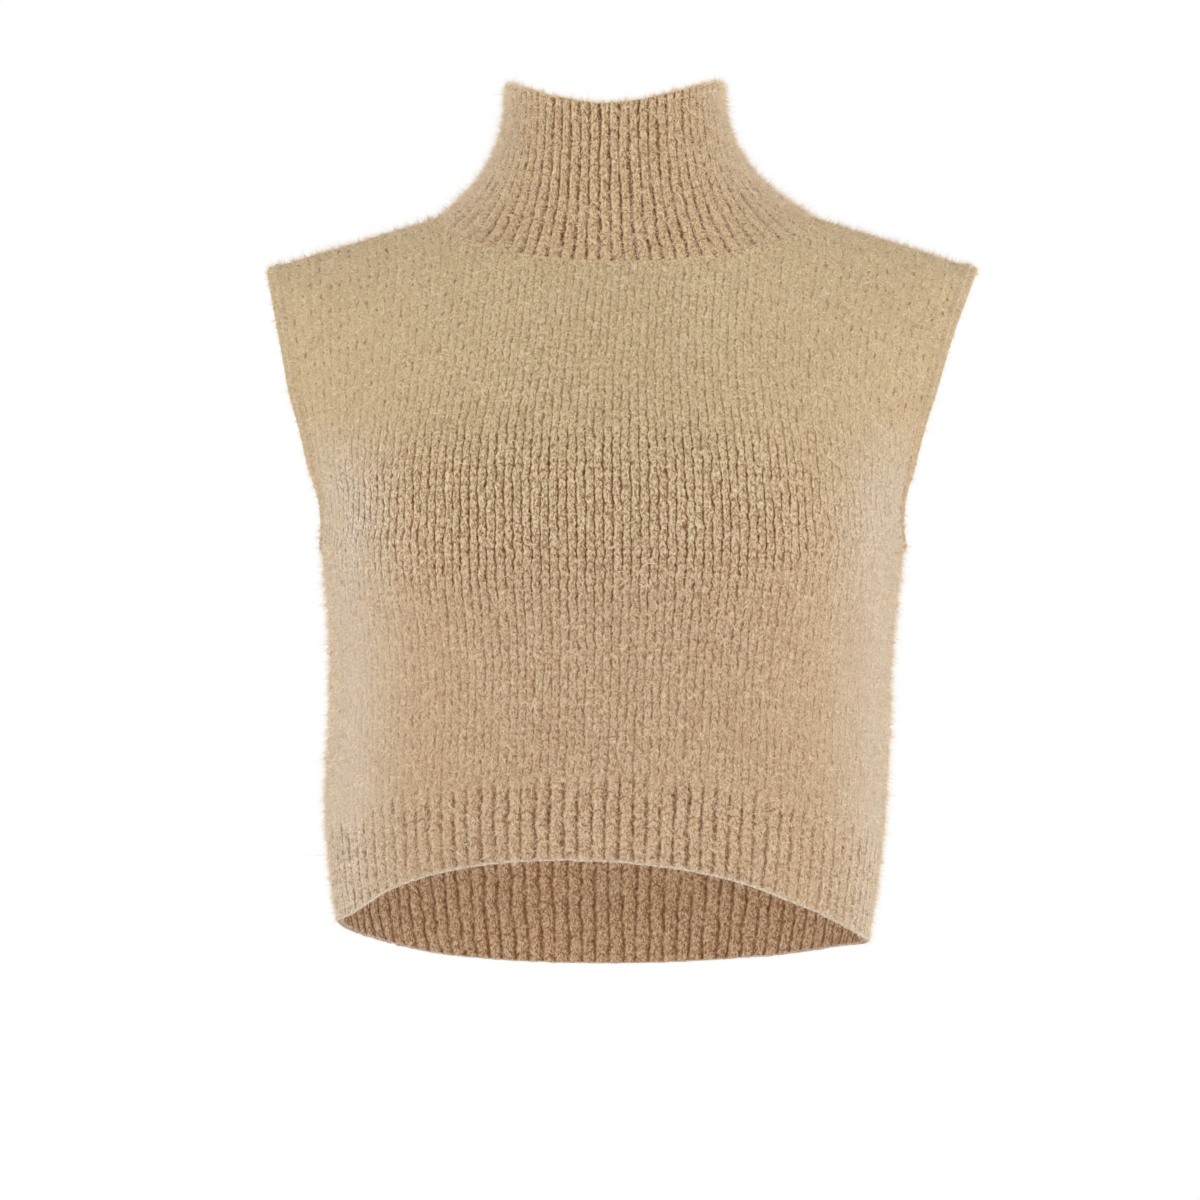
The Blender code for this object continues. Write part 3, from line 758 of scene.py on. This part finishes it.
hems = []
for word, side, ribs, seed in (("front", FRONT, 56, 21), ("back", BACK, 50, 22)):
    band, grid = hem_band(word + "_hem_knit", side, ribs, seed)
    look = {"lower": HEM_LOWER, "gap_from": 0.52, "steady": 0.55, "depth": 0.95}
    yarn = brushed_knit(word + "_hem_yarn", ribs, HEM_COURSES, **look)
    dress(band, yarn, word + "_hem_rib", replaces=True)
    cord = cast_on_edge(word + "_hem_edge", side, seed + 2)
    dress(cord, brushed_knit(word + "_edge_yarn", 1, 180, lower=HEM_LOWER, depth=0.0), word + "_hem_rib")
    hems.append((band, grid))
(front_hem, front_hem_grid), (back_hem, back_hem_grid) = hems


# --------------------
# The collar: a funnel of 1x1 rib, picked up round the neck hole. Its ribs fan out over the yoke, run
# together up the neck, and end in a soft rim that dips at the front.

COLLAR_RIBS = 70
COLLAR_COURSES = 22
COLLAR_UPPER = linear(228, 187, 117)
RIM_RADIUS = 0.0575
RIM_MIDDLE_Y = -0.012
RIM_DIP_HEIGHT, RIM_SIDE_HEIGHT, RIM_BACK_HEIGHT = 0.0542, 0.0718, 0.0700
RIM_DIP_BEARING = -5
RIM_DIP_SHARPNESS = 0.85
COLLAR_FLARE = 2.5
RIB_CROWDING = 0.0127
COURSE_CROWDING = 1.25  # the power by which the courses lie closer at the seam
THIN_HALF_WIDTH, THIN_FLARE = 0.048, 0.045  # of the thin pile in the middle, and how much more at the foot
COLLAR_SHEEN_FROM = 0.72  # of the way to the sides


def neck_seam():
    """The neck hole's edge, once round from the middle of the front towards +X: points of the panels' outer
    skin, their normals, and the directions in which the cloth would run on into the hole."""
    fine = NECK_POINT_X * np.sin(np.linspace(0, np.pi / 2, 120))
    outer, normals = [], []
    for side, x in ((FRONT, fine), (BACK, fine[::-1]), (BACK, -fine[1:]), (FRONT, -fine[::-1])):
        rise = neck_rise(side, x)
        share = x / read_table(ARMHOLE_LEVELS, "half_width", rise)
        outer.append(worn_form(side, share, rise))
        normals.append(outward(partial(worn_form, side), share, rise, -side, rise == 1))
    outer, normals = np.concatenate(outer), np.concatenate(normals)
    apart = np.concatenate([[True], np.linalg.norm(np.diff(outer, axis=0), axis=1) > 1e-6])
    outer, normals = outer[apart], normals[apart]
    along = np.gradient(outer, axis=0)
    along[0] = along[-1] = (1, 0, 0)
    return outer, normals, unit(np.cross(normals, along))


seam_outer, seam_normals, seam_onward = neck_seam()
seam_run = lengths_along(seam_outer)


def along_seam(points, run):
    return np.stack([np.interp(run, seam_run, column) for column in points.T], -1)


def on_seam(points, bearing):
    """Reads points along the seam: its share is the bearing's, with the ribs closer in front and behind."""
    share = bearing / (2 * np.pi) - RIB_CROWDING * np.sin(2 * bearing)
    return along_seam(points, np.mod(share, 1) * seam_run[-1])


def funnel(bearing, climb):
    """From the seam to the round rim: the plan moves over by 1 less the rest of the climb to a power, while
    the height rises evenly."""
    base = on_seam(seam_outer + SEAM_GAP * seam_onward, bearing)
    turn = bearing - np.radians(RIM_DIP_BEARING)
    dip = np.where(np.cos(turn) > 0, RIM_DIP_HEIGHT, RIM_BACK_HEIGHT)
    rim_height = dip + (RIM_SIDE_HEIGHT - dip) * (np.sin(turn) ** 2) ** RIM_DIP_SHARPNESS
    rim = leaning(RIM_RADIUS * np.sin(bearing), RIM_MIDDLE_Y - RIM_RADIUS * np.cos(bearing), rim_height)
    spread = ((1 - climb) ** COLLAR_FLARE)[..., None]
    plan = base * spread + rim * (1 - spread)
    height = base[..., 2] + climb * (rim[..., 2] - base[..., 2])
    return np.concatenate([plan[..., :2], height[..., None]], axis=-1)


def collar_funnel(name, seed):
    """The funnel's grid: eight columns a rib from furrow to furrow, starting behind, and two rows a course.
    The pile is thin over the middle, widest at the foot, and the sides are painted pale as a sheen."""
    draw = np.random.default_rng(seed)
    columns = np.arange(COLLAR_RIBS * RIB_COLUMNS + 1)
    rib = columns // RIB_COLUMNS % COLLAR_RIBS
    rows = COLLAR_COURSES * COURSE_ROWS + 1
    sway = rib_sway(draw, rows, rib)
    place = (columns / RIB_COLUMNS + sway * (columns > 0) * (columns < columns[-1])) / COLLAR_RIBS
    start = 0.25 / COLLAR_RIBS - 0.5
    climb = np.linspace(0, 1, rows)[:, None] ** COURSE_CROWDING
    bearing, climb = np.broadcast_arrays(2 * np.pi * (start + place), climb)
    smooth = funnel(bearing, climb)
    normals = outward(funnel, bearing, climb, 1, climb < 0, ANY, (0, 1))
    height = rib_heights(draw, rows, columns, rib)
    fade = np.clip(np.minimum((climb + 0.012) / 0.06, (1 - climb) / 0.03), 0, 1) ** FADE_ROUNDING
    foot = on_seam(seam_outer - WALL * seam_normals + SEAM_GAP * seam_onward, bearing[0])
    half_width = THIN_HALF_WIDTH + THIN_FLARE * (1 - climb) ** 2
    middle = np.exp(-((np.abs(smooth[..., 0]) / half_width) ** 3))
    shown = 0.24 + 0.66 * middle * np.clip(0.65 + 0.6 * climb, 0, 1)
    side = np.clip((np.abs(np.sin(bearing)) - COLLAR_SHEEN_FROM) / (1 - COLLAR_SHEEN_FROM), 0, 1)
    shown, pale = (shown, INNER_SHOWN), (side**1.5 * np.clip(0.5 + climb, 0, 1), 0)
    return rib_shell(name, FRONT, COLLAR_RIBS, smooth, normals, height, fade, shown, pale, foot)


collar, collar_grid = collar_funnel("collar_knit", 31)
yarn = brushed_knit("collar_yarn", COLLAR_RIBS, COLLAR_COURSES, COLLAR_UPPER, gap_from=0.50, steady=0.65)
dress(collar, yarn, "collar", replaces=True)


# --------------------
# The linking round the neck: one chain of slanted stitches that joins the collar to the yoke and stands a
# little proud of both.

LINKS = 132
LINK_ROWS = 4
LINK_HALF_WIDTH = 0.0021
LINK_HEIGHT = 0.0008
LINK_DEPTH = 0.0012
LINK_SWAY = 0.0004
LINK_UNEVENNESS = 0.18  # of its size


def neck_link(name, seed):
    """The chain's line is the seam, which it sways about, and its height rises over each link."""
    draw = np.random.default_rng(seed)
    steps = LINKS * LINK_ROWS
    run = np.linspace(0, seam_run[-1], steps + 1)
    line, normals, onward = (along_seam(grid, run) for grid in (seam_outer, seam_normals, seam_onward))
    turn = 2 * np.pi * np.arange(steps + 1) / LINK_ROWS
    size = draw.normal(1, LINK_UNEVENNESS, LINKS)[np.arange(steps + 1) // LINK_ROWS % LINKS]
    line = line + (LINK_SWAY * np.sin(turn) * size)[:, None] * onward
    height = LINK_HEIGHT * size * (0.75 + 0.35 * np.cos(turn))
    return raised_band(name, line, normals, onward, LINK_HALF_WIDTH, height, LINK_DEPTH, 10, 0.02)


dress(neck_link("neck_link", 41), brushed_knit("link_yarn", COLLAR_RIBS, LINKS, depth=0.6), "collar")


# --------------------
# The armhole edges: the panels' own turned edges. Each is rolled over the wall, and a linked wale runs
# along it a few millimetres in, painted pale as a highlight, with short bars of yarn between it and the
# fold.

LINKED_WALE = 0.005  # from the fold
LINKED_HALF_WIDTH = 0.0012
EDGE_BAR = 0.0038
BAR_ROWS = 6
BAR_RELIEF = 0.0004
EDGE_ROUGHNESS = 0.00012
EDGE_SHOWN = 0.12

# One row a line of points across the edge, from its end on the outside round the fold to its end on the
# inside: how far from the fold it lies, how high over the outer skin, and how much it rises on each bar.
TURNED_EDGE = table(
    "inward over bar",
    (0.0090, -0.0004, 0.0), (0.0078, 0.0000, 0.0), (0.0066, 0.0003, 0.0),
    (0.0058, 0.0010, 0.2), (0.0050, 0.0013, 0.3), (0.0042, 0.0010, 0.3),
    (0.0034, 0.0003, 0.8), (0.0020, 0.0004, 1.0), (0.0008, 0.0006, 0.7),
    (-0.0003, 0.0001, 0.5), (-0.0007, -0.0015, 0.4), (-0.0003, -0.0030, 0.4),
    (0.0010, -0.0035, 0.3), (0.0050, -0.0034, 0.0), (0.0060, -0.0028, 0.0),
)


def turned_edge(name, side, hand, seed):
    """Carries the table's profile along one panel's armhole. Inward runs over the cloth's form, by a share
    that is the distance over the form's own stretch there."""
    draw = np.random.default_rng(seed)
    surface = partial(worn_form, side)
    fine = np.linspace(0, 1, 800) ** 2
    run = lengths_along(surface(hand * armhole_share(fine), fine))
    bars = round(run[-1] / EDGE_BAR)
    steps = np.linspace(0, run[-1], bars * BAR_ROWS + 1)
    rise = np.interp(steps, run, fine)[:, None]
    edge = armhole_share(rise)
    stretch = surface(hand * (edge - NUDGE), rise) - surface(hand * (edge - 2 * NUDGE), rise)
    inward = TURNED_EDGE["inward"] / (np.linalg.norm(stretch, axis=-1) / NUDGE)
    share = hand * np.minimum(edge - inward, 1)
    rise = np.broadcast_to(rise, share.shape)
    normals = outward(surface, share, rise, -side, (rise == 1) | (np.abs(share) == 1))
    outside = TURNED_EDGE["over"] > 0
    bar = np.cos(2 * np.pi * np.arange(len(steps)) / BAR_ROWS)[:, None] * wavering(draw, len(steps), 1, 9)
    own = EDGE_ROUGHNESS * draw.normal(size=share.shape)
    over = TURNED_EDGE["over"] + BAR_RELIEF * TURNED_EDGE["bar"] * (0.5 + 0.5 * bar) + own * outside
    over = over * (1 - 0.15 * wavering(draw, len(steps), 1, 4) * outside)
    points = surface(share, rise) + over[..., None] * normals
    faces = cell_triangles(np.arange(share.size).reshape(share.shape), True)[:, :: hand * side]
    across = TURNED_EDGE["inward"] / LINKED_WALE - 0.5
    uv = np.stack(np.meshgrid(across, steps / run[-1]), -1)
    # The linked wale is painted pale as a highlight
    light = np.exp(-(((TURNED_EDGE["inward"] - LINKED_WALE) / LINKED_HALF_WIDTH) ** 2)) * outside
    tones = {
        "lie": np.tile(np.clip(0.5 + 400 * TURNED_EDGE["over"], 0, 1), len(steps)),
        "shown": EDGE_SHOWN,
        "pale": np.tile(0.45 * light, len(steps)),
    }
    grid = points, normals, np.ones(share.shape, bool), np.full(share.shape, 0.3)
    return woven_mesh(name, points, faces, uv, tones), bars, grid


armhole_piles = []
for name, side, hand, solid, seed in (
    ("front_armhole_edge_left", FRONT, -1, "front_panel", 83),
    ("front_armhole_edge_right", FRONT, 1, "front_panel", 84),
    ("back_armhole_edge_left", BACK, -1, "back_panel", 84),
    ("back_armhole_edge_right", BACK, 1, "back_panel", 85),
):
    edge, bars, grid = turned_edge(name, side, hand, seed)
    dress(edge, brushed_knit(name + "_yarn", 1, bars, steady=0.5, depth=0.3), solid)
    pile_seed = 57 + len(armhole_piles)
    armhole_piles.append((name.replace("edge", "pile"), solid, pile_seed, grid, 3500, 0.8))


# --------------------
# The pile: loose ends of the brushed yarn. Some lie almost flat and cross the stitches, and the finest
# stand off the cloth, alone and in tufts, where they show as a haze round its outline.

FLAT_ENDS = 0.40  # the share that lies down
IN_TUFTS = 0.24  # the share that stands in tufts
ENDS_PER_TUFT = 14
TUFT_SPREAD = 0.0005
LEAST_TUFT_WIDTH = 0.00022
ROOT_DEPTH = 0.0002
DROOP = 0.6  # how far down the middle of the random leans is
REACH_SPREAD, WIDTH_SPREAD = 0.38, 0.3
# For the ends that lie, and for those that stand: least and greatest angle off the cloth, reach, and width.
ANGLES = (6, 28), (30, 85)
REACHES = 0.0023, 0.0034
WIDTHS = 0.00036, 0.00016
PILE_LIGHT = linear(255, 247, 232)
PILE_SHADE = linear(224, 196, 154)


def roots_on(draw, grid, count):
    """Random places on a grid's living cells, as many to each as its share of the area, and fewer where the
    stitches show."""
    outer, normals, live, shown = grid[:4]
    sides = outer[:-1, 1:] - outer[:-1, :-1], outer[1:, :-1] - outer[:-1, :-1]
    whole = live[:-1, :-1] & live[:-1, 1:] & live[1:, :-1] & live[1:, 1:]
    area = np.linalg.norm(np.cross(*sides), axis=-1) * whole * (1.1 - 0.92 * shown[:-1, :-1])
    cell = np.searchsorted(np.cumsum(area.ravel()) / area.sum(), draw.random(count))
    row, column = np.divmod(np.minimum(cell, area.size - 1), area.shape[1])
    u, v = draw.random((2, count, 1))
    place = outer[row, column] + u * sides[0][row, column] + v * sides[1][row, column]
    return place, normals[row, column]


def free_edge(grid, row, beyond):
    """The end face of a wall as a grid of two rows, facing the way from the row beyond to the row."""
    outer, inner = grid[0], grid[4]
    away = unit(outer[row] - outer[beyond])
    skins = np.stack([outer[row], inner[row]])
    return skins, np.stack([away, away]), np.ones(skins.shape[:2], bool), np.zeros(skins.shape[:2])


def loose_ends(name, seed, grid, count, length):
    """One triangle for each end: two corners at its root and one at its tip, which is a length away in a
    direction that rises from the cloth by the end's own angle, and leans downwards more often than not."""
    draw = np.random.default_rng(seed)
    roots, normals = roots_on(draw, grid, count)
    flat = draw.random((count, 1)) < FLAT_ENDS
    angle = np.radians(np.where(flat, *(draw.uniform(*limits, (count, 1)) for limits in ANGLES)))
    lean = draw.normal(size=(count, 3)) - (0, 0, DROOP)
    tufts = int(count * IN_TUFTS)
    centre = draw.integers(count // 2, count // 2 + tufts // ENDS_PER_TUFT, tufts)
    roots[:tufts] = roots[centre] + draw.normal(0, TUFT_SPREAD, (tufts, 3))
    normals[:tufts] = normals[centre]
    lean[:tufts] = lean[centre] + 0.6 * lean[:tufts]
    along = unit(lean - (lean * normals).sum(-1, keepdims=True) * normals)
    direction = np.cos(angle) * along + np.sin(angle) * normals
    reach = np.where(flat, *REACHES) * np.exp(draw.normal(0, REACH_SPREAD, (count, 1))) * length
    width = np.where(flat, *WIDTHS) * draw.uniform(1 - WIDTH_SPREAD, 1 + WIDTH_SPREAD, (count, 1))
    width[:tufts] = np.maximum(width[:tufts], LEAST_TUFT_WIDTH)
    across = unit(np.cross(direction, draw.normal(size=(count, 3)))) * width / 2
    root = roots - ROOT_DEPTH * normals
    points = np.stack([root - across, root + across, root + reach * direction], axis=1)
    faces = np.arange(3 * count).reshape(-1, 3)
    uv = np.tile([(0.0, 0.0), (1.0, 0.0), (0.5, 1.0)], (count, 1))
    light = np.repeat(np.clip(draw.normal(0.55, 0.25, count), 0, 1), 3)
    return woven_mesh(name, points, faces, uv, {"light": light})


def pile_fibre(name):
    """Each end has its own lightness between the pile's two colours, and is painted paler towards its tip
    as a highlight.
    """
    nodes = Nodes(bpy.data.materials.new(name))
    light = nodes.maths("MULTIPLY", nodes.attribute("light"), 0.60)
    pale = nodes.maths("MULTIPLY_ADD", nodes.knit_map()[1], 0.45, light)
    colour = nodes.mix(pale, PILE_SHADE, PILE_LIGHT)
    return nodes.shade({"Base Color": colour, "Roughness": 0.8, "Specular IOR Level": 0.1})


for name, solid, seed, grid, count, length in (
    ("front_pile", "front_panel", 51, front_grid, 120000, 1.0),
    ("back_pile", "back_panel", 52, back_grid, 100000, 1.0),
    ("collar_pile", "collar", 53, collar_grid, 76000, 1.1),
    ("collar_rim_pile", "collar", 54, free_edge(collar_grid, -1, -2), 9000, 0.95),
    ("front_hem_pile", "front_hem_rib", 55, front_hem_grid, 26000, 0.9),
    ("back_hem_pile", "back_hem_rib", 56, back_hem_grid, 26000, 0.9),
    *armhole_piles,
):
    dress(loose_ends(name, seed, grid, count, length), pile_fibre(name + "_fibre"), solid)


# --------------------
# The cut: each piece's greatest width and length as it comes flat off the needles, in metres, and its area
# in square metres. The panels hang from the shoulders, the ribs from them, and the collar is stretched.

for cloth, flat, area, held, rests_on, with_pieces in (
    (front, (0.439, 0.360), 0.1223, "hung", [], ("front_armhole", "front_pile")),
    (back, (0.410, 0.394), 0.1369, "hung", [], ("back_armhole", "back_pile")),
    (collar, (0.556, 0.09), 0.0343, "stretched", [front, back], ("neck_link", "collar_rim", "collar_pile")),
    (front_hem, (0.407, 0.053), 0.0190, "hung", [front], ("front_hem_edge", "front_hem_pile")),
    (back_hem, (0.382, 0.056), 0.0200, "hung", [back], ("back_hem_edge", "back_hem_pile")),
):
    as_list(rests_on)


# --------------------
# The studio: a pale floor under a plain white surround, large soft lights at both sides, above, below and
# behind, and the camera straight in front, a little above the hem, as the photograph was taken.

FLOOR_HEIGHT = -0.75
FLOOR_PLAN = (-9, -9), (9, -9), (9, 2.6), (-9, 2.6)
FLOOR_GLOW = (0.95, 0.95, 0.95, 1)  # what the camera sees on top of the light that falls on it
SURROUND_LIGHT = 0.16

floor_mesh = bpy.data.meshes.new("floor")
floor_mesh.from_pydata([(x, y, FLOOR_HEIGHT) for x, y in FLOOR_PLAN], [], [(0, 1, 2, 3)])
paint = Nodes(bpy.data.materials.new("floor"))
seen = paint.add("LightPath").outputs["Is Camera Ray"]
glow = {"Emission Color": FLOOR_GLOW, "Emission Strength": seen}
floor_mesh.materials.append(paint.shade({"Base Color": linear(246, 246, 246), "Roughness": 0.9} | glow))
new_object("floor", floor_mesh)


def aim(thing, place, towards):
    thing.location = place
    thing.rotation_euler = Vector(np.subtract(towards, place)).to_track_quat("-Z", "Y").to_euler()


def soft_light(name, place, towards, size, watts, colour=(1, 1, 1)):
    """A rectangular light that faces a point."""
    lamp = bpy.data.lights.new(name, "AREA")
    lamp.shape = "RECTANGLE"
    lamp.size, lamp.size_y = size
    lamp.energy = watts
    lamp.color = colour
    aim(new_object(name, lamp), place, towards)


soft_light("left_softbox", (-2.1, -0.5, 0.0), (0, 0, -0.18), (1.4, 2.2), 33.5)
soft_light("right_softbox", (2.1, -0.5, 0.0), (0, 0, -0.18), (1.4, 2.2), 37)
soft_light("top_softbox", (0, -0.6, 1.5), (0, 0, -0.1), (1.6, 1.2), 15.5)
soft_light("low_softbox", (0, -1.5, -0.72), (0, 0.08, -0.36), (1.4, 0.8), 16, (1.0, 0.95, 0.89))
soft_light("back_softbox", (0, 2.6, 0.5), (0, 0, -0.18), (1.8, 1.4), 45)

world = bpy.data.worlds.new("studio")
bpy.context.scene.world = world
air = Nodes(world)
# The surround lights the vest by its share, and the camera sees it white
seen = air.add("LightPath").outputs["Is Camera Ray"]
dim, full = air.tree.nodes["Background"], air.add("Background")
for background, strength in ((dim, SURROUND_LIGHT), (full, 1)):
    air.give(background, {"Color": (1, 1, 1, 1), "Strength": strength})
surround = air.add("MixShader", {0: seen, 1: dim.outputs[0], 2: full.outputs[0]})
air.give(air.tree.nodes["World Output"], {"Surface": surround.outputs[0]})

CAMERA_PLACE = (-0.008, -2.6, -0.338)
CAMERA_TARGET = (-0.008, 0, -0.200)

lens = bpy.data.cameras.new("camera")
lens.lens = 147.4
lens.sensor_width = 36
lens.clip_start, lens.clip_end = 0.05, 50
camera = new_object("camera", lens)
aim(camera, CAMERA_PLACE, CAMERA_TARGET)
bpy.context.scene.camera = camera
bpy.context.scene.view_settings.view_transform = "Standard"
